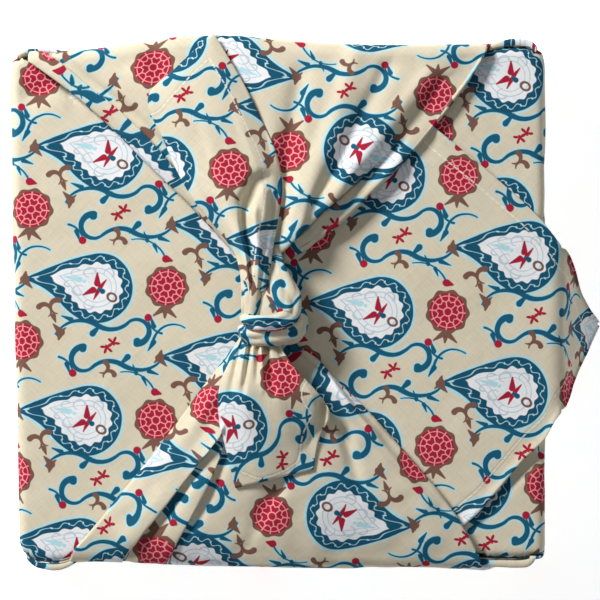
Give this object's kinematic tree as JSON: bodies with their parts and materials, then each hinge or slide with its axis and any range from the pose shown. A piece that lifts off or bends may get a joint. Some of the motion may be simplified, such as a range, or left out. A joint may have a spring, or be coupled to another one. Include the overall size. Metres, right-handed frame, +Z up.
{
  "type": "furoshiki wrap",
  "caption": "Square parcel wrapped in one patterned cotton cloth, its four corners folded over the top, two of them gathered into a central reef knot with both tails laid back.",
  "frame": {"origin": "centre of the flat underside", "axes": "+Z up out of the knot, +Y toward the far flap and the longer tail, +X toward the hanging corner of the left flap"},
  "size_m": [0.2878, 0.2606, 0.0796],
  "materials": {
    "printed_cotton": "matt, plain weave"
  },
  "bodies": {
    "root": {"wrap_cloth": "printed_cotton"}
  },
  "joints": []
}
